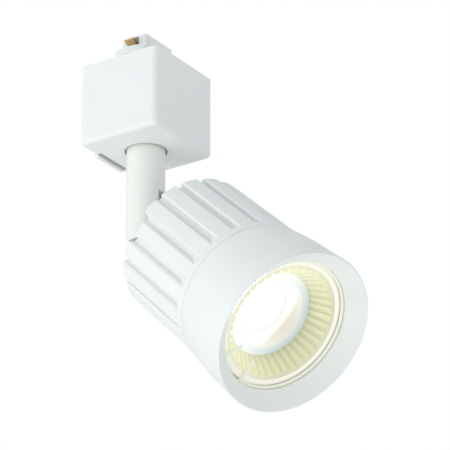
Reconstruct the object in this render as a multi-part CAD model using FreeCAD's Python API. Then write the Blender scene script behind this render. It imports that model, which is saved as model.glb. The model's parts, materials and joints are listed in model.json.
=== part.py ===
"""Track spotlight: adapter, turning stem, tilting finned head and a GU10 lamp.

The row frame has its origin on the stem's axis, in the plane of the adapter's shoulder, where the
track's underside rests.  +Z is up, X runs along the track and Y runs across it.  The head's pieces
are modelled in their own frame, which head_piece() puts in place: +Z forward along the head's
axis, X along the tilt axis towards the stem, and the rear ends of the fins at Z = 0.
"""
import FreeCAD, Part
import math
import os

V = FreeCAD.Vector
ORIGIN = V(0, 0, 0)
X_AXIS = V(1, 0, 0)
Z_AXIS = V(0, 0, 1)

# ---- Adapter (millimetres) ----
ADAPTER_X = 34.5
ADAPTER_Y = 36.5
ADAPTER_H = 31.6
ADAPTER_CORNER = 2.6
ADAPTER_EDGE = 1.6
FLOOR = 4.2                 # thickness of the housing's floor
CAVITY = (-12.9, 14.9, 15.9)    # inner faces: low X, high X, half width in Y
CAVITY_CORNER = 2.0
REBATE = 1.0                # ledge that the carrier's plate sits on
PLATE = 2.2                 # thickness of the carrier's plate
SCREW_POSTS = [(x, y) for x in (-9.2, 11.3) for y in (-12.4, 12.4)]
STOP_POST = 9.8             # from the stem's axis to the post that ends its turn
TERMINALS = {"live": -5.4, "earth": 0.0, "neutral": 5.4}    # their places along Y
TERMINAL_X = 5.2
TERMINAL_SCREW_Z = -10.2
BLOCK = (-6.0, 9.8, 8.8, -12.0)     # low X, high X, half width, underside
LEAD_R = 0.85
STEM_LEADS = {"live": (-0.75, -1.3), "earth": (1.5, 0.0), "neutral": (-0.75, 1.3)}
LEADS_CROSS_Z = -15.2       # where the leads cross over from the terminals to the stem's bore

# ---- Track that the adapter fits ----
NECK_R = 6.7                # turns inside a slot 14.5 wide
LIP = 3.4                   # height of the neck through the track's lips
LUG_REACH = 13.0
LUG_TOP = 6.4
TURRET_TOP = 12.2

# ---- Release tab ----
TAB_Y = 8.0
TAB_THICK = 1.6
TAB_GAP = 1.3
TAB_LIP = 1.0               # how far the tab's finger edge stands below the housing
TONGUE_TOP = 4.0
ARM_Z = (-8.0, -6.4)
SHELF_Z = -18.5
SPRING_X = -9.4
SPRING_R = 1.6
SPRING_WIRE = 0.3

# ---- Stem ----
STEM_R = 7.1
STEM_TOP = -30.4            # shoulder of the stem, inside the recess of the housing
RECESS_R = 7.9
RECESS_DEPTH = 2.0
THREAD_R = 5.0
THREAD_TOP = -18.5
BORE_R = 3.4
PIVOT_Z = -61.5
STEP_Z = PIVOT_Z + 12.5     # where the inner half of the stem ends
HALF_GAP = 0.3              # from the stem's middle plane to each half of the knuckle
BUSH_TOP = -26.6

# ---- Pivot screw ----
SCREW_R = 2.0
SCREW_HEAD_R = 3.4

# ---- Head ----
HEADING = -10.5             # degrees from +X, towards +Y
PITCH = 43.0                # degrees below the horizontal
SIDE = 19.0                 # from the head's axis to the stem's axis
BEHIND = 3.4                # from the pivot to the rear ends of the fins
FIN_R = 27.5
SHOULDER_R = 28.3
SPIGOT_R = 27.2
SPIGOT_BORE = 25.9
SPIGOT_Z = (43.0, 52.3)
BACK = 3.2                  # thickness of the back wall
FINS = 19
GROOVE_W = 2.4
GROOVE_FLARE = 0.8          # the groove's rim is this much wider on each side
GROOVE_FLOOR_R = 25.3
GROOVE_LENGTH = 41.0
GROOVE_RAMP = 6.0           # length over which the groove's floor rises to the surface
TILT = 60.0                 # degrees each way from straight down
KNUCKLE_GAP = 0.4           # between the stem and its notch in the head
LUG_R = 7.05
RING_REAR = 43.08
RING_WAIST = (29.75, 52.5)  # radius and height in the middle of the ring's flare
RING_SIDE = (30.5, 62.5)    # where the flare ends
LIP_Z = 72.5
LIP_R = 31.3
MOUTH_R = 25.3
MOUTH_Z = 67.6
GROMMET = (9.0, -11.3)
GROMMET_R = 2.3
GROMMET_LEADS = {"live": (-0.5, 0.9), "earth": (1.0, 0.0), "neutral": (-0.5, -0.9)}
EARTH_POINT = (12.3, -1.5)

# ---- Lamp and its holder ----
LAMP_FRONT = 64.6
LAMP_R = 24.6
LAMP_REAR = 15.0
BASE_R = 13.0
BASE_TOP = 22.0             # where the base meets the lamp's body
BEZEL_R = 22.2
BEZEL_MOUTH_R = 20.6
BEZEL_SEAT = 55.2
BEZEL_RIBS = 40
LENS_R = 16.1
LENS_FRONT = 58.0
LENS_SEAT_R = 15.2          # radius of the cavity behind the lens
WELL_R = 12.6               # mouth of the well in the lens
WELL_FLOOR_R = 10.0
WELL_FLOOR_Z = 51.0
BOARD_Z = 44.0
DRIVER_R = 11.0             # radius of the driver's chamber
DRIVER_Z = (24.0, 42.0)
PIN_PITCH_R = 5.0
PIN_R = 1.5
PIN_HEAD_R = 2.4
PIN_END = 8.0
PIN_NECK_Z = 10.5
TWIST = 25.0                # degrees from locked to free
HOLDER_Z = (4.4, 14.8)
HOLDER_X = 7.0
HOLDER_Y = 14.0
HOLDER_SCREW_Y = 11.0
SMALL_SCREW_R = 1.25        # the holder's screws and the earth screw
SMALL_HOLE_R = 1.35
SCREW_SEAT = 12.4           # where the holder's screws bear, below the holder's front
HOLDER_LEADS = {"live": 10.4, "neutral": 8.0}   # heights at which they enter the holder
CLIP_Z = 65.3
CLIP_R = 24.9
CLIP_WIRE = 0.6
CLIP_END_R = 17.6           # how far in its two bent ends reach
CLIP_OPEN = 63.0            # direction of the clip's opening, degrees from the tilt axis
CLIP_HALF_GAP = 16.0


# ---- Helpers ----

def bar(x0, x1, y0, y1, z0, z1):
    """A box between two corners."""
    return Part.makeBox(x1 - x0, y1 - y0, z1 - z0, V(x0, y0, z0))


def post(radius, x, y, z0, z1):
    """An upright cylinder."""
    return Part.makeCylinder(radius, z1 - z0, V(x, y, z0))


def axle(radius, x0, x1, z=0.0):
    """A cylinder along X."""
    return Part.makeCylinder(radius, x1 - x0, V(x0, 0, z), X_AXIS)


def turned(points, x=0.0, y=0.0, sweep=360):
    """A profile of (radius, height) points turned about an upright line at x, y."""
    corners = [V(radius, 0, height) for radius, height in points]
    face = Part.Face(Part.makePolygon(corners + corners[:1]))
    solid = face.revolve(ORIGIN, Z_AXIS, sweep)
    solid.translate(V(x, y, 0))
    return solid


def rounded_edges(solid, radius, wanted):
    """The solid with a fillet on each edge that wanted() accepts."""
    return solid.makeFillet(radius, [edge for edge in solid.Edges if wanted(edge.BoundBox)])


def upright(box):
    """Is this the bounding box of an upright straight edge?"""
    return box.XLength < 0.01 and box.YLength < 0.01


def at_height(height):
    """A test for edges that lie level at one height."""
    return lambda box: abs(box.ZMin - height) < 0.01 and abs(box.ZMax - height) < 0.01


def rounded_bar(x0, x1, y0, y1, z0, z1, radius):
    """A box with rounded upright edges."""
    return rounded_edges(bar(x0, x1, y0, y1, z0, z1), radius, upright)


def tube(points, radius):
    """A round tube along straight runs joined by tangent arcs."""
    edges = []
    start = points[0]
    for before, corner, after in zip(points, points[1:], points[2:]):
        back = before - corner
        ahead = after - corner
        half_turn = (math.pi - back.getAngle(ahead)) / 2
        cut = 0.45 * min(back.Length, ahead.Length)
        bend = cut / math.tan(half_turn)
        back.normalize()
        ahead.normalize()
        middle_way = back + ahead
        middle_way.normalize()
        first = corner + back * cut
        last = corner + ahead * cut
        middle = corner + middle_way * (bend / math.cos(half_turn) - bend)
        edges.append(Part.LineSegment(start, first).toShape())
        edges.append(Part.Arc(first, middle, last).toShape())
        start = last
    edges.append(Part.LineSegment(start, points[-1]).toShape())
    section = Part.Wire(Part.makeCircle(radius, points[0], points[1] - points[0]))
    return Part.Wire(edges).makePipeShell([section], True, True)


def strip(points, thickness, width):
    """A bent metal strip in the XZ plane, centred on Y = 0."""
    pieces = []
    for start, end in zip(points, points[1:]):
        dx = end[0] - start[0]
        dz = end[1] - start[1]
        length = math.hypot(dx, dz)
        run = bar(0, length, -width / 2, width / 2, -thickness / 2, thickness / 2)
        run.rotate(ORIGIN, V(0, 1, 0), -math.degrees(math.atan2(dz, dx)))
        run.translate(V(start[0], 0, start[1]))
        pieces.append(run)
    for x, z in points[1:-1]:
        pieces.append(Part.makeCylinder(thickness / 2, width, V(x, -width / 2, z), V(0, 1, 0)))
    return pieces[0].fuse(pieces[1:]).removeSplitter()


def pan_screw(shank_r, head_r, x, y, tip, seat, top):
    """A pan-head screw with its tip down and a cross-slot in its head."""
    head = rounded_edges(post(head_r, x, y, seat, top), 0.3 * (top - seat), at_height(top))
    slot = bar(x - head_r * 0.6, x + head_r * 0.6, y - 0.25, y + 0.25, top - 0.6, top + 1)
    cross = slot.copy()
    cross.rotate(V(x, y, 0), Z_AXIS, 90)
    return head.fuse(post(shank_r, x, y, tip, seat)).cut(slot).cut(cross)


def stem_piece(shape):
    """Turn a piece so that its X axis lies along the tilt axis."""
    shape.rotate(ORIGIN, Z_AXIS, HEADING - 90)
    return shape


def head_piece(shape):
    """Put a piece from the head's frame in its place at rest."""
    heading = math.radians(HEADING)
    pitch = math.radians(PITCH)
    forward = V(math.cos(pitch) * math.cos(heading), math.cos(pitch) * math.sin(heading), -math.sin(pitch))
    tilt = V(math.sin(heading), -math.cos(heading), 0)
    turn = FreeCAD.Placement(ORIGIN, FreeCAD.Rotation(tilt, forward.cross(tilt), forward, "ZXY"))
    shift = V(0, 0, PIVOT_Z) - turn.multVec(V(SIDE, 0, -BEHIND))
    shape.transformShape(FreeCAD.Placement(shift, turn.Rotation).toMatrix(), True)
    return shape


# ---- Adapter ----

def adapter_housing():
    """The box under the track, open at the top, with its tab slot, screw posts and stem recess."""
    low_x, high_x, half_y = CAVITY
    outer = rounded_bar(-ADAPTER_X / 2, ADAPTER_X / 2, -ADAPTER_Y / 2, ADAPTER_Y / 2,
                        -ADAPTER_H, 0, ADAPTER_CORNER)
    outer = rounded_edges(outer, ADAPTER_EDGE, at_height(-ADAPTER_H))
    floor_top = -ADAPTER_H + FLOOR
    box = outer.cut(rounded_bar(low_x, high_x, -half_y, half_y, floor_top, 1, CAVITY_CORNER))
    box = box.cut(rounded_bar(low_x - REBATE, high_x + REBATE, -half_y - REBATE, half_y + REBATE,
                              -PLATE, 1, CAVITY_CORNER))
    slot_wall = -ADAPTER_X / 2 + TAB_THICK + TAB_GAP
    box = box.cut(bar(-ADAPTER_X, slot_wall, -TAB_Y - 0.3, TAB_Y + 0.3, -ADAPTER_H - 1, 1))
    box = box.cut(bar(slot_wall - 1, low_x + 0.1, -2.8, 2.8, ARM_Z[0] - 4.6, ARM_Z[1] + 0.4))
    box = box.fuse(bar(low_x - 0.3, -7.2, -3.2, 3.2, SHELF_Z - 1.2, SHELF_Z))
    for x, y in SCREW_POSTS:
        box = box.fuse(post(2.7, x, y, floor_top, -PLATE))
        box = box.cut(post(1.1, x, y, -11.0, 0))
    away = math.radians(HEADING + 90)
    box = box.fuse(post(1.0, STOP_POST * math.cos(away), STOP_POST * math.sin(away), floor_top - 0.5,
                        BUSH_TOP + 1.3))
    box = box.cut(post(RECESS_R, 0, 0, -ADAPTER_H - 1, -ADAPTER_H + RECESS_DEPTH))
    return box.cut(post(6.5, 0, 0, -ADAPTER_H, floor_top + 0.5))


def contact_carrier():
    """The insulating insert: plate, neck through the slot, locking lugs and contact turret."""
    low_x, high_x, half_y = CAVITY
    edge = REBATE - 0.1
    plate = rounded_bar(low_x - edge, high_x + edge, -half_y - edge, half_y + edge, -PLATE, 0, CAVITY_CORNER)
    lugs = bar(-6.4, 6.4, -LUG_REACH, LUG_REACH, LIP, LUG_TOP).common(post(LUG_REACH, 0, 0, LIP, LUG_TOP))
    lugs = rounded_edges(lugs, 0.8, at_height(LUG_TOP))
    turret = rounded_bar(-5.6, 5.6, -8.6, 8.6, LUG_TOP - 1, TURRET_TOP, 1.2)
    turret = rounded_edges(turret, 0.8, at_height(TURRET_TOP))
    body = plate.fuse([post(NECK_R, 0, 0, -0.5, LIP + 0.5), lugs, turret])
    body = body.cut(post(4.2, 0, 0, -PLATE - 1, 8.0))
    body = body.cut(bar(-2.2, 2.2, -10, 10, 7.0, 11.4))
    body = body.cut(bar(2.5, 3.5, -1.8, 1.8, 7.0, TURRET_TOP + 1))
    for x, y in SCREW_POSTS:
        body = body.cut(turned([(0, -3), (1.3, -3), (1.3, -1.3), (2.6, 0.0), (2.6, 1), (0, 1)], x, y))
    return body


def carrier_screws():
    """Four countersunk screws through the carrier's plate into the housing's posts."""
    screws = []
    for x, y in SCREW_POSTS:
        profile = [(0, -10.5), (1.1, -10.5), (1.1, -1.3), (2.3, -0.2), (0, -0.2)]
        recess = bar(x - 1.4, x + 1.4, y - 0.25, y + 0.25, -0.9, 0)
        cross = recess.copy()
        cross.rotate(V(x, y, 0), Z_AXIS, 90)
        screws.append(turned(profile, x, y).cut(recess).cut(cross))
    return Part.makeCompound(screws)


def side_contact(side):
    """A leaf contact that reaches out of one side of the turret; side is -1 or 1."""
    leaf = strip([(1.2, -5.0), (1.2, 7.7), (9.4, 7.7), (12.4, 9.3), (9.6, 10.8)], 0.5, 3.2)
    leaf.rotate(ORIGIN, Z_AXIS, 90 * side)
    return leaf


def earth_contact():
    """The leaf contact over the top of the turret."""
    return strip([(3.0, -5.0), (3.0, 13.0), (-1.0, 13.9), (-4.6, 12.8)], 0.5, 3.2)


def terminal_block():
    """The block that joins the contacts' tails to the leads."""
    low_x, high_x, half_y, under = BLOCK
    block = rounded_bar(low_x, high_x, -half_y, half_y, under, -PLATE, 1.0)
    for y in (-1.2, 1.2):
        block = block.cut(bar(-1.7, 1.7, y - 0.35, y + 0.35, -5.2, 0))
    block = block.cut(bar(2.65, 3.35, -1.7, 1.7, -5.2, 0))
    for y in TERMINALS.values():
        block = block.cut(post(LEAD_R + 0.1, TERMINAL_X, y, under - 1, -9.0))
        hole = axle(1.0, TERMINAL_X + 0.9, high_x + 1, TERMINAL_SCREW_Z)
        hole.translate(V(0, y, 0))
        block = block.cut(hole)
    return block


def terminal_screws():
    """Three screws in the side of the terminal block."""
    high_x = BLOCK[1]
    screws = []
    for y in TERMINALS.values():
        screw = axle(1.0, TERMINAL_X + LEAD_R + 0.1, high_x, TERMINAL_SCREW_Z)
        screw = screw.fuse(axle(1.7, high_x, high_x + 1.1, TERMINAL_SCREW_Z))
        slot = bar(high_x + 0.6, high_x + 2, -2, 2, TERMINAL_SCREW_Z - 0.25, TERMINAL_SCREW_Z + 0.25)
        screw = screw.cut(slot)
        screw.translate(V(0, y, 0))
        screws.append(screw)
    return Part.makeCompound(screws)


def adapter_lead(name):
    """A lead from the terminal block down through the hollow stem."""
    x, y = STEM_LEADS[name]
    far_y = TERMINALS[name]
    return tube([V(x, y, STEP_Z + 0.3), V(x, y, LEADS_CROSS_Z), V(TERMINAL_X, far_y, LEADS_CROSS_Z),
                 V(TERMINAL_X, far_y, -9.2)], LEAD_R)


def swivel_bush():
    """The flanged bush that the stem turns in."""
    floor_top = -ADAPTER_H + FLOOR
    under = -ADAPTER_H + RECESS_DEPTH
    inner = THREAD_R + 0.06
    return turned([(inner, under), (6.5, under), (6.5, floor_top), (8.0, floor_top), (8.0, BUSH_TOP),
                   (inner, BUSH_TOP)])


# ---- Release tab ----

def release_tab():
    """The latch: a plate in the housing's end, its tongue into the track and its inner arm."""
    out = -ADAPTER_X / 2
    low = -ADAPTER_H - TAB_LIP
    plate = bar(out, out + TAB_THICK, -TAB_Y, TAB_Y, low, -1.5)
    plate = rounded_edges(plate, 0.5, at_height(low))
    tongue = bar(out + 0.1, out + TAB_THICK, -NECK_R, NECK_R, -2.5, TONGUE_TOP)
    tongue = tongue.makeChamfer(0.5, [e for e in tongue.Edges if at_height(TONGUE_TOP)(e.BoundBox)])
    arm = bar(out + TAB_THICK - 0.3, -7.4, -2.4, 2.4, *ARM_Z)
    tab = plate.fuse([tongue, arm])
    for row in range(4):
        height = low + 4.0 + 2.0 * row
        tab = tab.cut(bar(out - 1, out + 0.4, -TAB_Y + 2, TAB_Y - 2, height, height + 0.8))
    return tab


def tab_spring():
    """The compression spring under the tab's arm."""
    low = SHELF_Z + SPRING_WIRE
    high = ARM_Z[0] - SPRING_WIRE
    turns = 6
    helix = Part.makeHelix((high - low) / turns, high - low, SPRING_R)
    section = Part.Wire(Part.makeCircle(SPRING_WIRE, V(SPRING_R, 0, 0), V(0, 1, 0)))
    coil = Part.Wire(helix).makePipeShell([section], True, True)
    coil.translate(V(SPRING_X, 0, low))
    return coil


# ---- Stem ----

def double_d(radius, flat, z0, z1):
    """A round post with two flats."""
    return post(radius, 0, 0, z0, z1).common(bar(-radius, radius, -flat, flat, z0, z1))


def stem():
    """The hollow stem: threaded neck, round shank and the outer half of the knuckle."""
    low = PIVOT_Z - STEM_R
    shank = post(STEM_R, 0, 0, low, STEM_TOP)
    shank = rounded_edges(shank, 0.5, at_height(STEM_TOP))
    envelope = bar(-STEM_R, STEM_R, -STEM_R, STEM_R, PIVOT_Z, STEM_TOP).fuse(
        axle(STEM_R, -STEM_R, STEM_R, PIVOT_Z))
    shank = shank.common(envelope)
    shank = shank.cut(bar(-STEM_R - 1, HALF_GAP, -STEM_R - 1, STEM_R + 1, low - 1, STEP_Z))
    neck = double_d(THREAD_R, 4.3, STEM_TOP - 1, THREAD_TOP).fuse(
        post(THREAD_R, 0, 0, STEM_TOP - 1, BUSH_TOP - 0.1))
    body = shank.fuse(neck).cut(post(BORE_R, 0, 0, STEP_Z, THREAD_TOP + 1))
    body = body.cut(axle(SCREW_R, 0, 5.6, PIVOT_Z))
    return stem_piece(body.removeSplitter())


def thrust_washer():
    """The plain washer between the stem's shoulder and the housing."""
    top = -ADAPTER_H + RECESS_DEPTH - 0.05
    rim = RECESS_R - 0.3
    return turned([(5.1, STEM_TOP), (rim, STEM_TOP), (rim, top), (5.1, top)])


def stop_washer():
    """The keyed washer whose lug meets the stop post and ends the turn."""
    low = BUSH_TOP + 0.1
    ring = post(7.9, 0, 0, low, low + 1.0)
    lug = bar(6, 11, -1.05, 1.05, low, low + 1.0).common(post(10.5, 0, 0, low, low + 1.0))
    washer = ring.fuse(lug).cut(double_d(THREAD_R + 0.03, 4.33, low - 1, low + 2))
    return stem_piece(washer)


def wave_washer():
    """The dished spring washer that gives the turn its friction."""
    low = BUSH_TOP + 1.15
    return turned([(5.15, low + 0.45), (7.8, low), (7.8, low + 0.4), (5.15, low + 0.85)])


def stem_nut():
    """The hexagon nut on the stem's thread."""
    low = BUSH_TOP + 2.05
    across_corners = 13.8 / math.cos(math.radians(30))
    corners = [V(across_corners / 2 * math.cos(math.radians(60 * i)),
                 across_corners / 2 * math.sin(math.radians(60 * i)), low) for i in range(7)]
    high = low + 3.9
    nut = Part.Face(Part.makePolygon(corners)).extrude(V(0, 0, high - low))
    dome = turned([(0, low), (7.2, low), (8.1, low + 0.5), (8.1, high - 0.5), (7.2, high), (0, high)])
    return stem_piece(nut.common(dome).cut(post(THREAD_R, 0, 0, low - 1, low + 5)))


# ---- Pivot ----

def pivot_screw():
    """The socket-head screw that the head tilts on, threaded into the stem's half."""
    head = axle(SCREW_HEAD_R, -6.9, -4.5, PIVOT_Z)
    shank = axle(SCREW_R, -4.6, 5.5, PIVOT_Z)
    socket = Part.makeCylinder(1.5, 1.5, V(-7.0, 0, PIVOT_Z), X_AXIS)
    return stem_piece(head.fuse(shank).cut(socket))


def pivot_spring_washer():
    """The spring washer under the pivot screw's head."""
    return stem_piece(axle(3.7, -4.45, -3.95, PIVOT_Z).cut(axle(SCREW_R + 0.05, -5, -3, PIVOT_Z)))


def friction_washer():
    """The nylon washer between the two halves of the knuckle."""
    return stem_piece(axle(6.6, -0.25, 0.25, PIVOT_Z).cut(axle(SCREW_R + 0.05, -1, 1, PIVOT_Z)))


# ---- Head ----

def groove_cutter():
    """One groove on the side of +X: flared at its rim, with a floor that rises at the front end."""
    half = GROOVE_W / 2
    wide = half + GROOVE_FLARE
    over = 1.5
    side = [(GROOVE_FLOOR_R, half - 0.4), (GROOVE_FLOOR_R + 0.6, half), (FIN_R - GROOVE_FLARE, half),
            (FIN_R + over, wide + over)]
    corners = [V(x, y, -2) for x, y in side] + [V(x, -y, -2) for x, y in reversed(side)]
    groove = Part.Face(Part.makePolygon(corners + corners[:1])).extrude(V(0, 0, GROOVE_LENGTH + 2))
    slope = (FIN_R - GROOVE_FLOOR_R) / GROOVE_RAMP
    ramp = [V(GROOVE_FLOOR_R, -5, GROOVE_LENGTH - GROOVE_RAMP),
            V(FIN_R + 5 * slope, -5, GROOVE_LENGTH + 5), V(GROOVE_FLOOR_R - 1, -5, GROOVE_LENGTH + 5),
            V(GROOVE_FLOOR_R - 1, -5, GROOVE_LENGTH - GROOVE_RAMP)]
    groove = groove.cut(Part.Face(Part.makePolygon(ramp + ramp[:1])).extrude(V(0, 10, 0)))
    outline = bar(0, FIN_R + over, -wide - over, wide + over, -2, GROOVE_LENGTH - wide)
    outline = outline.fuse(Part.makeCylinder(wide, FIN_R + over, V(0, 0, GROOVE_LENGTH - wide), X_AXIS))
    groove = groove.common(outline)
    taper = math.degrees(math.atan2(SHOULDER_R - FIN_R, SPIGOT_Z[0]))
    groove.rotate(V(GROOVE_FLOOR_R, 0, 0), V(0, 1, 0), taper)
    return groove


def stem_notch():
    """The room that the outer half of the stem needs while the head tilts."""
    room_r = STEM_R + KNUCKLE_GAP
    inner = SIDE - HALF_GAP
    outer = SIDE + 15
    room = axle(room_r, inner, outer, -BEHIND)
    for angle in (-TILT, 0, TILT):
        arm = bar(inner, outer, -room_r, room_r, -20, 0)
        arm.rotate(ORIGIN, X_AXIS, angle)
        arm.translate(V(0, 0, -BEHIND))
        room = room.fuse(arm)
    return room


def head_body():
    """The finned casting with its back wall, pivot lug, notch for the stem and front spigot."""
    low, high = SPIGOT_Z
    body = turned([(0, 0), (FIN_R, 0), (SHOULDER_R, low), (SPIGOT_R, low), (SPIGOT_R, high),
                   (SPIGOT_BORE, high), (SPIGOT_BORE, 42.5), (24.0, 38.0), (22.9, 11.0), (17.3, 7.5),
                   (17.3, BACK), (0, BACK)])
    body = rounded_edges(body, 1.8, at_height(0))
    step = 360 / FINS
    for index in range(FINS):
        cutter = groove_cutter()
        cutter.rotate(ORIGIN, Z_AXIS, step / 2 + step * index)
        body = body.cut(cutter)
    body = body.cut(stem_notch())
    inner_face = SIDE - HALF_GAP
    outer_face = SIDE - STEM_R + 0.15
    lug = axle(LUG_R, outer_face, inner_face, -BEHIND)
    lug = lug.fuse(bar(outer_face, inner_face, -LUG_R, LUG_R, -BEHIND, 1.0))
    body = body.fuse(lug.common(bar(0, SIDE, -LUG_R, LUG_R, -BEHIND - LUG_R, 1.0)))
    body = body.cut(axle(SCREW_R + 0.06, outer_face - 1, SIDE, -BEHIND))
    body = body.cut(axle(4.0, outer_face - 1, SIDE - 3.9, -BEHIND))
    body = body.cut(post(GROMMET_R, *GROMMET, -1, BACK + 1))
    for y in (-HOLDER_SCREW_Y, HOLDER_SCREW_Y):
        body = body.cut(post(SMALL_SCREW_R, 0, y, 0.9, BACK + 1))
    return head_piece(body.cut(post(SMALL_SCREW_R, *EARTH_POINT, 1.4, BACK + 1)))


def front_ring():
    """The flared ring with the bevelled mouth, the clip's groove and the bore around the lamp."""
    groove_low = CLIP_Z - CLIP_WIRE - 0.05
    groove_high = CLIP_Z + CLIP_WIRE + 0.05
    groove_r = CLIP_R + CLIP_WIRE + 0.15
    bore = MOUTH_R - 0.1
    rear = RING_REAR
    profile = [RING_SIDE, (LIP_R - 0.15, LIP_Z - 1.2), (LIP_R, LIP_Z - 0.7), (LIP_R - 0.2, LIP_Z - 0.15),
               (LIP_R - 0.4, LIP_Z), (LIP_R - 0.6, LIP_Z), (MOUTH_R + 0.3, MOUTH_Z + 0.2),
               (MOUTH_R, MOUTH_Z - 0.2),
               (MOUTH_R, groove_high), (groove_r, groove_high), (groove_r, groove_low), (bore, groove_low),
               (bore, 52.5), (SPIGOT_R + 0.1, 52.5), (SPIGOT_R + 0.1, rear), (SHOULDER_R - 0.1, rear),
               (SHOULDER_R, rear + 0.1)]
    corners = [V(radius, 0, height) for radius, height in profile]
    flare = Part.Arc(corners[-1], V(RING_WAIST[0], 0, RING_WAIST[1]), corners[0]).toShape()
    outline = Part.Wire([*Part.makePolygon(corners).Edges, flare])
    return head_piece(Part.Face(outline).revolve(ORIGIN, Z_AXIS, 360))


def retaining_clip():
    """The open wire ring that holds the lamp, with its two ends bent inwards."""
    first = CLIP_OPEN + CLIP_HALF_GAP
    last = 360 + CLIP_OPEN - CLIP_HALF_GAP
    path = Part.makeCircle(CLIP_R, V(0, 0, CLIP_Z), Z_AXIS, first, last)
    start = path.valueAt(path.FirstParameter)
    section = Part.Wire(Part.makeCircle(CLIP_WIRE, start, path.tangentAt(path.FirstParameter)))
    clip = Part.Wire(path).makePipeShell([section], True, True)
    for angle in (first, last):
        way = V(math.cos(math.radians(angle)), math.sin(math.radians(angle)), 0)
        end = way * CLIP_END_R + V(0, 0, CLIP_Z)
        clip = clip.fuse(Part.makeCylinder(CLIP_WIRE, CLIP_R - CLIP_END_R, end, way))
        clip = clip.fuse(Part.makeSphere(CLIP_WIRE, way * CLIP_R + V(0, 0, CLIP_Z)))
        clip = clip.fuse(Part.makeSphere(CLIP_WIRE, end))
    return head_piece(clip)


# ---- Lamp holder and wiring in the head ----

def arc_slot(half_width, z0, z1):
    """A slot along the pins' circle, from the locked place to the free one."""
    inner = PIN_PITCH_R - half_width
    outer = PIN_PITCH_R + half_width
    slot = turned([(inner, z0), (outer, z0), (outer, z1), (inner, z1)], sweep=TWIST)
    free = math.radians(TWIST)
    slot = slot.fuse(post(half_width, PIN_PITCH_R, 0, z0, z1))
    return slot.fuse(post(half_width, PIN_PITCH_R * math.cos(free), PIN_PITCH_R * math.sin(free), z0, z1))


def lamp_holder():
    """The ceramic holder with its two keyhole slots for the lamp's pins."""
    low, high = HOLDER_Z
    block = rounded_bar(-HOLDER_X, HOLDER_X, -HOLDER_Y, HOLDER_Y, low, high, 3.0)
    block = rounded_edges(block, 0.8, at_height(high))
    free = math.radians(TWIST)
    for side in (90, -90):
        keyhole = arc_slot(1.9, PIN_NECK_Z, high + 1).fuse(arc_slot(2.8, PIN_END - 0.6, PIN_NECK_Z + 0.4))
        entry = post(2.8, PIN_PITCH_R * math.cos(free), PIN_PITCH_R * math.sin(free), PIN_END, high + 1)
        keyhole = keyhole.fuse(entry)
        keyhole.rotate(ORIGIN, Z_AXIS, side)
        block = block.cut(keyhole)
    for y in (-HOLDER_SCREW_Y, HOLDER_SCREW_Y):
        block = block.cut(post(SMALL_HOLE_R, 0, y, low - 1, high + 1))
        block = block.cut(post(2.5, 0, y, SCREW_SEAT, high + 1))
    for name, height in HOLDER_LEADS.items():
        y = GROMMET[1] + GROMMET_LEADS[name][1]
        hole = axle(LEAD_R + 0.05, 4.5, HOLDER_X + 1, height)
        hole.translate(V(0, y, 0))
        block = block.cut(hole)
    return head_piece(block)


def holder_bracket():
    """The bent steel strap under the holder."""
    base = rounded_bar(-5, 5, -15.3, 15.3, BACK, HOLDER_Z[0], 1.5)
    ears = [bar(-3.5, 3.5, y, y + 1.0, BACK, 10.0) for y in (-15.1, 14.1)]
    bracket = base.fuse(ears)
    for y in (-HOLDER_SCREW_Y, HOLDER_SCREW_Y):
        bracket = bracket.cut(post(SMALL_HOLE_R, 0, y, BACK - 1, HOLDER_Z[0] + 1))
    return head_piece(bracket)


def holder_screws():
    """Two screws through the holder and its bracket into the back wall."""
    screws = []
    for y in (-HOLDER_SCREW_Y, HOLDER_SCREW_Y):
        screws.append(pan_screw(SMALL_SCREW_R, 2.3, 0, y, 1.0, SCREW_SEAT, SCREW_SEAT + 1.9))
    return head_piece(Part.makeCompound(screws))


def lead_grommet():
    """The rubber grommet where the leads enter the head."""
    profile = [(1.95, -0.9), (2.8, -0.9), (3.1, -0.6), (3.1, 0), (GROMMET_R, 0), (GROMMET_R, BACK),
               (2.9, BACK), (2.7, BACK + 0.9), (1.95, BACK + 0.9)]
    return head_piece(turned(profile, *GROMMET))


def holder_lead(name):
    """A lead from the grommet into the side of the lamp holder."""
    x = GROMMET[0] + GROMMET_LEADS[name][0]
    y = GROMMET[1] + GROMMET_LEADS[name][1]
    height = HOLDER_LEADS[name]
    return head_piece(tube([V(x, y, -0.9), V(x, y, height), V(4.8, y, height)], LEAD_R))


def head_earth_lead():
    """The earth lead from the grommet to the ring terminal on the back wall."""
    x = GROMMET[0] + GROMMET_LEADS["earth"][0]
    y = GROMMET[1] + GROMMET_LEADS["earth"][1]
    end_x, end_y = EARTH_POINT
    route = [V(x, y, -0.9), V(x, y, 7.0), V(end_x, end_y - 6.7, 7.0), V(end_x, end_y - 4.9, 4.9)]
    return head_piece(tube(route, LEAD_R))


def earth_terminal():
    """The crimped ring under the earth screw."""
    x, y = EARTH_POINT
    ring = post(2.8, x, y, BACK, BACK + 0.8)
    tail = bar(x - 1, x + 1, y - 3.9, y - 0.5, BACK, BACK + 0.8)
    return head_piece(ring.fuse(tail).cut(post(SMALL_HOLE_R, x, y, BACK - 1, BACK + 2)))


def earth_screw():
    """The screw that holds the earth ring to the casting."""
    return head_piece(pan_screw(SMALL_SCREW_R, 2.4, *EARTH_POINT, 1.5, BACK + 0.8, BACK + 2.6))


# ---- Lamp ----

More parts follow.
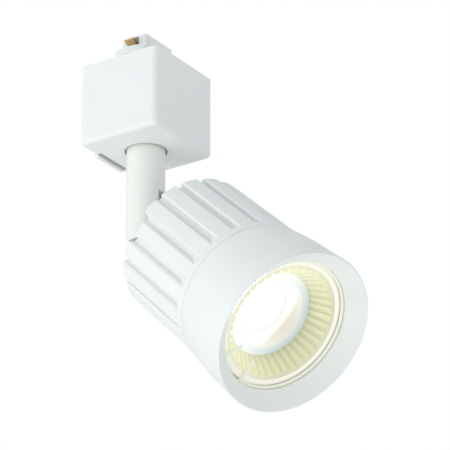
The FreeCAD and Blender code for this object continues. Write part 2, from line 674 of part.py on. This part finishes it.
def lamp_body():
    """The cup-shaped body of the lamp with its front rim and the driver's chamber."""
    rim = LAMP_FRONT - 4.5
    bezel_room = BEZEL_R + 0.1
    profile = [(0, BASE_TOP), (BASE_R + 0.6, BASE_TOP), (16.0, 26), (21.2, 37), (22.0, 42), (23.6, rim),
               (LAMP_R, rim + 0.6),
               (LAMP_R, LAMP_FRONT - 0.7), (LAMP_R - 0.3, LAMP_FRONT - 0.2), (LAMP_R - 0.8, LAMP_FRONT),
               (bezel_room, LAMP_FRONT), (bezel_room, BEZEL_SEAT), (LENS_SEAT_R, BEZEL_SEAT),
               (LENS_SEAT_R, BOARD_Z), (0, BOARD_Z)]
    return head_piece(turned(profile).cut(post(DRIVER_R, 0, 0, *DRIVER_Z)))


def lamp_bezel():
    """The ribbed cone around the lens, pressed into the front of the lamp."""
    low = LENS_FRONT - 0.6
    high = LAMP_FRONT - 0.2
    profile = [(LENS_R + 0.1, BEZEL_SEAT), (BEZEL_R, BEZEL_SEAT), (BEZEL_R, high), (BEZEL_MOUTH_R, high),
               (LENS_R + 0.1, low)]
    cone = turned(profile)
    start = V(LENS_R + 0.1, 0, low)
    way = V(BEZEL_MOUTH_R, 0, high) - start
    flutes = []
    for index in range(BEZEL_RIBS):
        flute = Part.makeCylinder(0.7, way.Length + 1.5, start - way * (0.7 / way.Length), way)
        flute.rotate(ORIGIN, Z_AXIS, 360 / BEZEL_RIBS * index)
        flutes.append(flute)
    return head_piece(cone.cut(flutes))


def lamp_driver():
    """The driver inside the lamp: an upright board with a transformer and a capacitor."""
    low, high = DRIVER_Z
    board = bar(-9.0, 9.0, -0.6, 0.6, low + 0.5, high - 0.5)
    core = bar(-4.6, 4.6, 0.5, 6.6, low + 3.0, low + 11.0)
    capacitor = Part.makeCylinder(3.0, 5.5, V(2.5, -0.5, low + 6.0), V(0, -1, 0))
    return head_piece(board.fuse([core, capacitor]))


def lamp_base():
    """The insulating base that carries the pins."""
    base = turned([(0, LAMP_REAR), (12.4, LAMP_REAR), (BASE_R, LAMP_REAR + 0.6), (BASE_R, BASE_TOP - 1.5),
                   (BASE_R + 0.6, BASE_TOP), (0, BASE_TOP)])
    for y in (-PIN_PITCH_R, PIN_PITCH_R):
        base = base.cut(post(PIN_R, 0, y, LAMP_REAR - 1, LAMP_REAR + 3))
    return head_piece(base)


def lamp_pins():
    """The two flanged contact pins."""
    pins = []
    for y in (-PIN_PITCH_R, PIN_PITCH_R):
        profile = [(0, PIN_END), (PIN_HEAD_R - 0.3, PIN_END), (PIN_HEAD_R, PIN_END + 0.3),
                   (PIN_HEAD_R, PIN_NECK_Z - 0.3), (PIN_R, PIN_NECK_Z), (PIN_R, LAMP_REAR + 3),
                   (0, LAMP_REAR + 3)]
        pins.append(turned(profile, 0, y))
    return head_piece(Part.makeCompound(pins))


def led_board():
    """The LED board behind the lens, with its square light source."""
    top = BOARD_Z + 1.4
    board = post(LENS_SEAT_R - 0.2, 0, 0, BOARD_Z, top)
    return head_piece(board.fuse(bar(-4, 4, -4, 4, top, top + 0.8)))


def lamp_lens():
    """The moulded collimating lens: a cup with a flange, a raised rim and a well with a domed floor."""
    front = LENS_FRONT
    under = BOARD_Z + 3.0
    profile = [(0, under), (8.0, under), (13.6, WELL_FLOOR_Z), (14.6, BEZEL_SEAT), (LENS_R, BEZEL_SEAT),
               (LENS_R, front - 0.6), (LENS_R - 0.3, front - 0.2), (LENS_R - 0.9, front),
               (WELL_R + 0.6, front + 0.3), (WELL_R, front + 0.1), (WELL_FLOOR_R, WELL_FLOOR_Z),
               (WELL_FLOOR_R / 2, WELL_FLOOR_Z + 0.6), (0, WELL_FLOOR_Z + 0.8)]
    return head_piece(turned(profile))


MODEL = {
    "adapter_housing": adapter_housing,
    "contact_carrier": contact_carrier,
    "carrier_screws": carrier_screws,
    "live_contact": lambda: side_contact(-1),
    "neutral_contact": lambda: side_contact(1),
    "earth_contact": earth_contact,
    "terminal_block": terminal_block,
    "terminal_screws": terminal_screws,
    "live_lead": lambda: adapter_lead("live"),
    "neutral_lead": lambda: adapter_lead("neutral"),
    "earth_lead": lambda: adapter_lead("earth"),
    "swivel_bush": swivel_bush,
    "release_tab": release_tab,
    "tab_spring": tab_spring,
    "stem": stem,
    "thrust_washer": thrust_washer,
    "stop_washer": stop_washer,
    "wave_washer": wave_washer,
    "stem_nut": stem_nut,
    "pivot_screw": pivot_screw,
    "pivot_spring_washer": pivot_spring_washer,
    "friction_washer": friction_washer,
    "head_body": head_body,
    "front_ring": front_ring,
    "retaining_clip": retaining_clip,
    "lamp_holder": lamp_holder,
    "holder_bracket": holder_bracket,
    "holder_screws": holder_screws,
    "lead_grommet": lead_grommet,
    "holder_live_lead": lambda: holder_lead("live"),
    "holder_neutral_lead": lambda: holder_lead("neutral"),
    "head_earth_lead": head_earth_lead,
    "earth_terminal": earth_terminal,
    "earth_screw": earth_screw,
    "lamp_body": lamp_body,
    "lamp_base": lamp_base,
    "lamp_pins": lamp_pins,
    "lamp_driver": lamp_driver,
    "led_board": led_board,
    "lamp_bezel": lamp_bezel,
    "lamp_lens": lamp_lens,
}

os.makedirs("parts", exist_ok=True)
for node, make in MODEL.items():
    shape = make()
    shape.exportStep("parts/" + node + ".step")
    print(node, "solids", len(shape.Solids), "valid", shape.isValid(), "volume", round(shape.Volume, 1))
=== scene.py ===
import json
from math import cos, pi, radians, sin

import bmesh
import bpy
from mathutils import Matrix, Quaternion, Vector
from mathutils.geometry import interpolate_bezier


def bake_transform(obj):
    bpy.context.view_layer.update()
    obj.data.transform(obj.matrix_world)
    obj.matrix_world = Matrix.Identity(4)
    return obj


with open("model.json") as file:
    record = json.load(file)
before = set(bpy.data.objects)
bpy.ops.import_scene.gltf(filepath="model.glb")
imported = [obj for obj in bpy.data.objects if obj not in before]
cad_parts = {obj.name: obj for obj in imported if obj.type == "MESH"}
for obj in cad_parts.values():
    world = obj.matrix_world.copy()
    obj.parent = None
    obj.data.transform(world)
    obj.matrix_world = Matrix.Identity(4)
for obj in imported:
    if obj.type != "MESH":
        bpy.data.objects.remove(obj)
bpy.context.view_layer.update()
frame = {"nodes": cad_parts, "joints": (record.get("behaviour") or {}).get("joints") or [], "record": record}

MM = 0.001
nodes = frame["nodes"]
joints = {joint["name"]: joint for joint in frame["joints"]}

# The head's own frame, from the joints: Z forward along the head's axis, X along the tilt axis
# towards the stem, and the rear ends of the fins at Z = 0.
LAMP_SEAT = 15 * MM         # the lamp joint's point, in front of the fins' rear ends
forward = Vector(joints["lamp_twist"]["axis"]).normalized()
tilt = -Vector(joints["head_tilt"]["axis"]).normalized()
head_origin = Vector(joints["lamp_twist"]["pos_m"]) - forward * LAMP_SEAT
HEAD = Matrix.Translation(head_origin) @ Matrix((tilt, forward.cross(tilt), forward)).transposed().to_4x4()


# ---- Camera ----

CAMERA_AT = Vector((0.6792, -0.9637, -0.5823))
CAMERA_AIM = Vector((0.018, 0.025, -0.056))
CAMERA_LENS = 284.7         # millimetres, like the sensor
CAMERA_SENSOR = 36


def facing(place, aim):
    """The rotation of a camera or light that looks from a place at a point."""
    return (aim - place).to_track_quat("-Z", "Y").to_euler()


def make_camera():
    """A long lens that looks up at the spotlight from in front and to the right."""
    data = bpy.data.cameras.new("camera")
    data.lens = CAMERA_LENS
    data.sensor_width = CAMERA_SENSOR
    data.clip_start = 0.01
    data.clip_end = 50
    camera = bpy.data.objects.new("camera", data)
    camera.location = CAMERA_AT
    camera.rotation_euler = facing(CAMERA_AT, CAMERA_AIM)
    bpy.context.scene.collection.objects.link(camera)
    bpy.context.scene.camera = camera


# ---- Light, background and floor ----

FLOOR_Z = -2.4              # metres, like the lights' places
FLOOR_HALF = 6
AMBIENT = 0.73
LIGHTS = [                  # name, place, side of the square, watts, colour
    ("key", (-0.75, -1.25, -0.15), 1.2, 7.6, (1.0, 1.0, 1.0)),
    ("fill", (-0.2, -0.7, -1.3), 1.0, 3.6, (1.0, 1.0, 0.98)),
    ("side", (1.1, 0.1, -1.0), 1.0, 2.0, (0.97, 1.0, 0.99)),
    ("under", (0.0, 0.6, -1.35), 1.0, 1.5, (0.96, 1.0, 1.0)),
]


def make_world():
    """A white studio: the backdrop is plain white and the surroundings light it softly."""
    world = bpy.data.worlds.new("studio")
    bpy.context.scene.world = world
    world.use_nodes = True
    tree = world.node_tree
    tree.nodes.clear()
    around = tree.nodes.new("ShaderNodeBackground")
    around.inputs["Color"].default_value = (0.955, 0.99, 1.0, 1)
    around.inputs["Strength"].default_value = AMBIENT
    backdrop = tree.nodes.new("ShaderNodeBackground")
    backdrop.inputs["Color"].default_value = (1, 1, 1, 1)
    backdrop.inputs["Strength"].default_value = 1.0
    path = tree.nodes.new("ShaderNodeLightPath")
    mix = tree.nodes.new("ShaderNodeMixShader")
    out = tree.nodes.new("ShaderNodeOutputWorld")
    tree.links.new(path.outputs["Is Camera Ray"], mix.inputs["Fac"])
    tree.links.new(around.outputs["Background"], mix.inputs[1])
    tree.links.new(backdrop.outputs["Background"], mix.inputs[2])
    tree.links.new(mix.outputs["Shader"], out.inputs["Surface"])
    bpy.context.scene.view_settings.view_transform = "Standard"


def make_lights():
    """A broad key from the left, with weak fills from below, from the right and from under the far side."""
    for name, place, side, watts, color in LIGHTS:
        data = bpy.data.lights.new(name, "AREA")
        data.shape = "SQUARE"
        data.size = side
        data.energy = watts
        data.color = color
        light = bpy.data.objects.new(name, data)
        light.location = place
        light.rotation_euler = facing(Vector(place), CAMERA_AIM)
        bpy.context.scene.collection.objects.link(light)


def make_floor():
    """A plain pale floor far below the spotlight."""
    mesh = bpy.data.meshes.new("floor")
    grid = bmesh.new()
    bmesh.ops.create_grid(grid, x_segments=1, y_segments=1, size=FLOOR_HALF)
    grid.to_mesh(mesh)
    grid.free()
    floor = bpy.data.objects.new("floor", mesh)
    floor.location = (0, 0, FLOOR_Z)
    bpy.context.scene.collection.objects.link(floor)
    floor.data.materials.append(surface("floor_paint", (0.86, 0.86, 0.85), 0.7, grain=4, bump=0.0))


# ---- Materials ----

STAIN = 14                  # millimetres across the soft changes of colour in a finish
CREVICE_REACH = 3           # millimetres: how far into corners and grooves the painted shade reaches


def new_material(name):
    """An empty material, with its node tree and its shader."""
    material = bpy.data.materials.new(name)
    material.use_nodes = True
    return material, material.node_tree, material.node_tree.nodes["Principled BSDF"]


def place_in(tree, matrix=None, stretch=(1, 1, 1)):
    """The surface point in the part's frame, or in the frame whose inverse matrix is given."""
    point = tree.nodes.new("ShaderNodeTexCoord")
    mapping = tree.nodes.new("ShaderNodeMapping")
    mapping.inputs["Scale"].default_value = stretch
    if matrix is not None:
        mapping.inputs["Location"].default_value = matrix.translation
        mapping.inputs["Rotation"].default_value = matrix.to_euler()
    tree.links.new(point.outputs["Object"], mapping.inputs["Vector"])
    return mapping.outputs["Vector"]


def noise(tree, vector, size, detail):
    """Noise whose lumps are about size millimetres across."""
    node = tree.nodes.new("ShaderNodeTexNoise")
    node.inputs["Scale"].default_value = 1 / (size * MM)
    node.inputs["Detail"].default_value = detail
    tree.links.new(vector, node.inputs["Vector"])
    return node.outputs["Fac"]


def between(tree, factor, low, high, kind="MIX"):
    """A colour between two colours; either may be the output of another node."""
    mix = tree.nodes.new("ShaderNodeMix")
    mix.data_type = "RGBA"
    mix.blend_type = kind
    for socket, value in (("Factor", factor), ("A", low), ("B", high)):
        if isinstance(value, (tuple, float)):
            mix.inputs[socket].default_value = (*value, 1) if isinstance(value, tuple) else value
        else:
            tree.links.new(value, mix.inputs[socket])
    return mix.outputs["Result"]


def in_range(tree, value, low, high):
    """A value from 0 to 1 spread over a range."""
    spread = tree.nodes.new("ShaderNodeMapRange")
    spread.inputs["To Min"].default_value = low
    spread.inputs["To Max"].default_value = high
    tree.links.new(value, spread.inputs["Value"])
    return spread.outputs["Result"]


def crevice_shade(tree, reach):
    """Painted shade by ambient occlusion: 1 on open surfaces, less in corners and grooves nearer than reach
    millimetres.
    """
    node = tree.nodes.new("ShaderNodeAmbientOcclusion")
    node.samples = 8
    node.inputs["Distance"].default_value = reach * MM
    return node.outputs["AO"]


def surface(name, color, roughness, grain=0.4, bump=0.01, tone=0.03, spread=0.06, metallic=0.0,
            stretch=(1, 1, 1), coat=0.0, subsurface=0.0, crevice=0.0):
    """A finish with a fine grain: its colour, roughness and relief all vary a little.

    grain is the size of the relief and bump its depth, both in millimetres, and crevice is how
    much darker the finish is painted in corners and grooves, as shade.
    """
    material, tree, shader = new_material(name)
    shader.inputs["Metallic"].default_value = metallic
    shader.inputs["Coat Weight"].default_value = coat
    shader.inputs["Coat Roughness"].default_value = 0.15
    shader.inputs["Subsurface Weight"].default_value = subsurface
    shader.inputs["Subsurface Scale"].default_value = MM
    vector = place_in(tree, stretch=stretch)
    fine = noise(tree, vector, grain, 3)
    dark = tuple(channel * (1 - tone) for channel in color)
    light = tuple(min(1, channel * (1 + tone)) for channel in color)
    shade = between(tree, noise(tree, vector, STAIN, 4), dark, light)
    # painted shade: the colour is darkened in corners and grooves, where the surroundings hide the light
    if crevice:
        crevice_shaded = tuple(channel * (1 - crevice) for channel in color)
        shade = between(tree, crevice_shade(tree, CREVICE_REACH), crevice_shaded, shade)
    tree.links.new(shade, shader.inputs["Base Color"])
    tree.links.new(in_range(tree, fine, roughness - spread, roughness + spread), shader.inputs["Roughness"])
    relief = tree.nodes.new("ShaderNodeBump")
    relief.inputs["Strength"].default_value = 1.0
    relief.inputs["Distance"].default_value = bump * MM
    tree.links.new(fine, relief.inputs["Height"])
    tree.links.new(relief.outputs["Normal"], shader.inputs["Normal"])
    return material


def turned_metal(name, color, roughness):
    """Bright metal with fine lathe lines and soft stains in its plating."""
    return surface(name, color, roughness, grain=0.2, bump=0.003, tone=0.07, metallic=1.0, stretch=(1, 1, 7))


STRIPE_SCALE = 90           # the yellow stripes' scale in the wave texture
STRIPE_EDGE = 0.62          # the wave's height where the yellow begins


def earth_sleeve(name):
    """Green sleeve with slanting yellow stripes."""
    material = surface(name, (0.10, 0.42, 0.06), 0.4, grain=0.5, bump=0.01)
    tree = material.node_tree
    stripe = tree.nodes.new("ShaderNodeTexWave")
    stripe.inputs["Scale"].default_value = STRIPE_SCALE
    stripe.inputs["Distortion"].default_value = 0.6
    tree.links.new(place_in(tree), stripe.inputs["Vector"])
    edge = tree.nodes.new("ShaderNodeMath")
    edge.operation = "GREATER_THAN"
    edge.inputs[1].default_value = STRIPE_EDGE
    tree.links.new(stripe.outputs["Fac"], edge.inputs[0])
    shader = tree.nodes["Principled BSDF"]
    green = shader.inputs["Base Color"].links[0].from_socket
    tree.links.new(between(tree, edge.outputs[0], green, (0.85, 0.68, 0.03)), shader.inputs["Base Color"])
    return material


TRACK_SCALE = 420           # cells between the board's tracks, per metre
TRACK_WIDTH = 0.12          # of a cell


def circuit_board(name):
    """Green solder mask with paler tracks under it."""
    material = surface(name, (0.02, 0.16, 0.06), 0.35, grain=0.5, bump=0.01, coat=0.4)
    tree = material.node_tree
    cells = tree.nodes.new("ShaderNodeTexVoronoi")
    cells.distance = "MANHATTAN"
    cells.feature = "DISTANCE_TO_EDGE"
    cells.inputs["Scale"].default_value = TRACK_SCALE
    tree.links.new(place_in(tree, HEAD.inverted()), cells.inputs["Vector"])
    gap = tree.nodes.new("ShaderNodeMath")
    gap.operation = "LESS_THAN"
    gap.inputs[1].default_value = TRACK_WIDTH
    tree.links.new(cells.outputs["Distance"], gap.inputs[0])
    shader = tree.nodes["Principled BSDF"]
    green = shader.inputs["Base Color"].links[0].from_socket
    tree.links.new(between(tree, gap.outputs[0], green, (0.05, 0.26, 0.10)), shader.inputs["Base Color"])
    return material


def radius_in_head(tree):
    """The distance from the head's axis, in metres."""
    flat = tree.nodes.new("ShaderNodeVectorMath")
    flat.operation = "MULTIPLY"
    flat.inputs[1].default_value = (1, 1, 0)
    tree.links.new(place_in(tree, HEAD.inverted()), flat.inputs[0])
    length = tree.nodes.new("ShaderNodeVectorMath")
    length.operation = "LENGTH"
    tree.links.new(flat.outputs["Vector"], length.inputs[0])
    return length.outputs["Value"]


NEAR_SIDE = radians(-8)     # the azimuth where the lamp's face is whitest, from the tilt axis
LENS_GLOW = [               # radius in millimetres, colour, strength
    (0.0, (0.96, 1.0, 0.68), 8.0),
    (7.8, (0.96, 1.0, 0.70), 7.0),
    (8.8, (0.94, 0.99, 0.96), 0.92),
    (10.1, (0.93, 0.98, 0.95), 0.80),
    (11.2, (1.0, 0.90, 0.76), 0.64),
    (12.3, (1.0, 0.98, 0.87), 0.68),
    (13.2, (0.86, 0.98, 0.96), 0.64),
    (15.0, (0.80, 0.98, 0.98), 0.60),
    (16.1, (0.80, 0.92, 0.84), 0.50),
]
BEZEL_GLOW = [
    (0.0, (0.84, 1.0, 0.54), 0.13),
    (18.0, (0.84, 1.0, 0.54), 0.12),
    (22.2, (1.0, 0.97, 0.76), 0.10),
]


def towards(tree, azimuth, low, high):
    """0 to 1 across the lamp's face towards an azimuth, from one distance in millimetres to another."""
    along = tree.nodes.new("ShaderNodeVectorMath")
    along.operation = "DOT_PRODUCT"
    along.inputs[1].default_value = (cos(azimuth), sin(azimuth), 0)
    tree.links.new(place_in(tree, HEAD.inverted()), along.inputs[0])
    spread = tree.nodes.new("ShaderNodeMapRange")
    spread.inputs["From Min"].default_value = low * MM
    spread.inputs["From Max"].default_value = high * MM
    tree.links.new(along.outputs["Value"], spread.inputs["Value"])
    return spread.outputs["Result"]


def glow_by_radius(material, stops, near_color, near_from, near_to):
    """Light that changes with the distance from the lamp's axis and is whiter on the near side.

    stops gives the colour and strength at each radius. Towards NEAR_SIDE the light rises to at
    least near_color, between the two distances in millimetres.
    """
    tree = material.node_tree
    shader = tree.nodes["Principled BSDF"]
    reach = stops[-1][0]
    strongest = max(strength for radius, color, strength in stops)
    part = tree.nodes.new("ShaderNodeMath")
    part.operation = "DIVIDE"
    part.inputs[1].default_value = reach * MM
    tree.links.new(radius_in_head(tree), part.inputs[0])
    ramp = tree.nodes.new("ShaderNodeValToRGB")
    marks = ramp.color_ramp.elements
    while len(marks) < len(stops):
        marks.new(0.5)
    for mark, (radius, color, strength) in zip(marks, stops):
        mark.position = radius / reach
        mark.color = (*[channel * strength / strongest for channel in color], 1)
    tree.links.new(part.outputs[0], ramp.inputs["Fac"])
    near = tuple(channel / strongest for channel in near_color)
    side = towards(tree, NEAR_SIDE, near_from, near_to)
    glow = between(tree, side, ramp.outputs["Color"], near, kind="LIGHTEN")
    tree.links.new(glow, shader.inputs["Emission Color"])
    shader.inputs["Emission Strength"].default_value = strongest
    return material


def lit_lens(name):
    """The clear lens, lit from behind: a white floor in its well, a warm wall and a cool flange."""
    material = surface(name, (0.06, 0.06, 0.06), 0.08, grain=1.5, bump=0.01, spread=0.03, coat=1.0)
    return glow_by_radius(material, LENS_GLOW, (0.92, 0.96, 0.90), -12, 2)


def lit_bezel(name):
    """The metallised ribbed cone, with the lens's light on it."""
    # crevice paints shade into the cone's ribs and corners
    material = surface(name, (0.74, 0.71, 0.52), 0.35, grain=1.2, bump=0.004, tone=0.04, metallic=0.25,
                       crevice=0.2)
    return glow_by_radius(material, BEZEL_GLOW, (0.24, 0.25, 0.18), -16, 0)


def even_glow(material, color, strength):
    """The same light all over a finish."""
    shader = material.node_tree.nodes["Principled BSDF"]
    shader.inputs["Emission Color"].default_value = (*color, 1)
    shader.inputs["Emission Strength"].default_value = strength
    return material


def lit_white(name, color, glow, grain):
    """A white finish beside the lens, which carries some of its light."""
    return even_glow(surface(name, color, 0.35, grain=grain, bump=0.006), glow, 1.0)


def phosphor(name):
    """The yellow light source on the LED board, lit."""
    return even_glow(surface(name, (0.95, 0.80, 0.30), 0.5, grain=0.3, bump=0.02), (1.0, 0.86, 0.55), 4.0)


def make_materials():
    """One finish for each material slot of the record."""
    white = (0.865, 0.888, 0.885)
    # crevice paints shade into the corners and grooves of these finishes
    return {
        "white_plastic": surface("moulded_white", white, 0.5, grain=0.3, bump=0.006, subsurface=0.1,
                                 crevice=0.06),
        "natural_nylon": surface("nylon", (0.80, 0.78, 0.70), 0.45, grain=0.6, bump=0.01, subsurface=0.2),
        "zinc_steel": turned_metal("zinc_plate", (0.62, 0.63, 0.65), 0.32),
        "contact_brass": turned_metal("brass", (0.80, 0.58, 0.28), 0.30),
        "pin_brass": turned_metal("nickel", (0.72, 0.70, 0.65), 0.25),
        "brown_sleeve": surface("brown_sleeve", (0.16, 0.06, 0.025), 0.4, grain=0.5, bump=0.01),
        "blue_sleeve": surface("blue_sleeve", (0.03, 0.12, 0.42), 0.4, grain=0.5, bump=0.01),
        "green_sleeve": earth_sleeve("earth_sleeve"),
        "white_paint": surface("stem_coat", (0.872, 0.884, 0.845), 0.42, grain=0.7, bump=0.012, crevice=0.12),
        "white_coated_aluminium": surface("head_coat", white, 0.42, grain=0.7, bump=0.012, crevice=0.05),
        "white_spring_wire": lit_white("wire_coat", (0.88, 0.87, 0.80), (0.10, 0.10, 0.08), 0.3),
        "steatite": surface("steatite", (0.80, 0.77, 0.68), 0.6, grain=0.3, bump=0.02, tone=0.06),
        "grommet_rubber": surface("silicone", (0.66, 0.66, 0.64), 0.6, grain=0.5, bump=0.01, subsurface=0.1),
        "lamp_white": lit_white("lamp_plastic", (0.88, 0.86, 0.80), (0.20, 0.20, 0.16), 0.8),
        "bezel_silver": lit_bezel("bezel_silver"),
        "board_green": circuit_board("solder_mask"),
        "led_light": phosphor("phosphor"),
        "lens_light": lit_lens("lens"),
    }


def dress_nodes(materials):
    """Give each CAD node the finish of its slot."""
    for subpart in frame["record"]["subparts"]:
        node = nodes[subpart["node"]]
        for slot in node.material_slots:
            slot.material = materials[subpart["material_slot"]]


# ---- Leads across the tilt pivot ----

LEAD_R = 0.85 * MM
LEAD_RINGS = 28             # along each lead
LEAD_SIDES = 14             # round each lead
LEAD_GAP = 0.15 * MM        # below the adapter's leads, which don't turn with the stem
SAME_PLANE = 0.01 * MM      # vertices of one end face lie within this
SLACK_DOWN = 3.0 * MM       # how far a lead keeps its direction as it leaves the stem
SLACK_BACK = 7.0 * MM       # how far behind the grommet it takes up the head's direction


def end_of(node, way):
    """The middle of a lead's end face: its vertices that lie furthest along a direction."""
    points = [vertex.co for vertex in nodes[node].data.vertices]
    reach = max(way.dot(point) for point in points)
    rim = [point for point in points if way.dot(point) > reach - SAME_PLANE]
    return sum(rim, Vector()) / len(rim)


def tube(name, path, radius):
    """A closed tube along a list of points."""
    mesh = bpy.data.meshes.new(name)
    shape = bmesh.new()
    way = path[1] - path[0]
    out = way.orthogonal().normalized() * radius
    rings = []
    for before, point, after in zip([path[0]] + path, path, path[1:] + [path[-1]]):
        ahead = after - before
        out = way.rotation_difference(ahead) @ out
        way = ahead
        turns = [Quaternion(way, 2 * pi * side / LEAD_SIDES) for side in range(LEAD_SIDES)]
        rings.append([shape.verts.new(point + turn @ out) for turn in turns])
    for low, high in zip(rings, rings[1:]):
        for side in range(LEAD_SIDES):
            shape.faces.new((low[side - 1], low[side], high[side], high[side - 1]))
    shape.faces.new(list(reversed(rings[0])))
    shape.faces.new(rings[-1])
    bmesh.ops.recalc_face_normals(shape, faces=shape.faces)
    shape.to_mesh(mesh)
    shape.free()
    mesh.shade_smooth()
    piece = bpy.data.objects.new(name, mesh)
    bpy.context.scene.collection.objects.link(piece)
    return piece


def crossing_lead(name, adapter_node, head_node, slot, materials):
    """A lead from the end of the stem's bore to the head's grommet, in a curve between the two.

    It starts just below the adapter's lead and meets the head's own lead.
    """
    down = Vector((0, 0, -1))
    start = end_of(adapter_node, down) + down * LEAD_GAP
    end = end_of(head_node, -forward)
    path = interpolate_bezier(start, start + down * SLACK_DOWN, end - forward * SLACK_BACK, end, LEAD_RINGS)
    piece = tube(name, path, LEAD_R)
    piece.data.materials.append(materials[slot])
    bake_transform(piece)


def make_leads(materials):
    """The three leads between the stem and the head."""
    crossing_lead("live_crossing", "live_lead", "holder_live_lead", "brown_sleeve", materials)
    crossing_lead("neutral_crossing", "neutral_lead", "holder_neutral_lead", "blue_sleeve", materials)
    crossing_lead("earth_crossing", "earth_lead", "head_earth_lead", "green_sleeve", materials)


make_camera()
make_world()
make_lights()
make_floor()
finishes = make_materials()
dress_nodes(finishes)
make_leads(finishes)
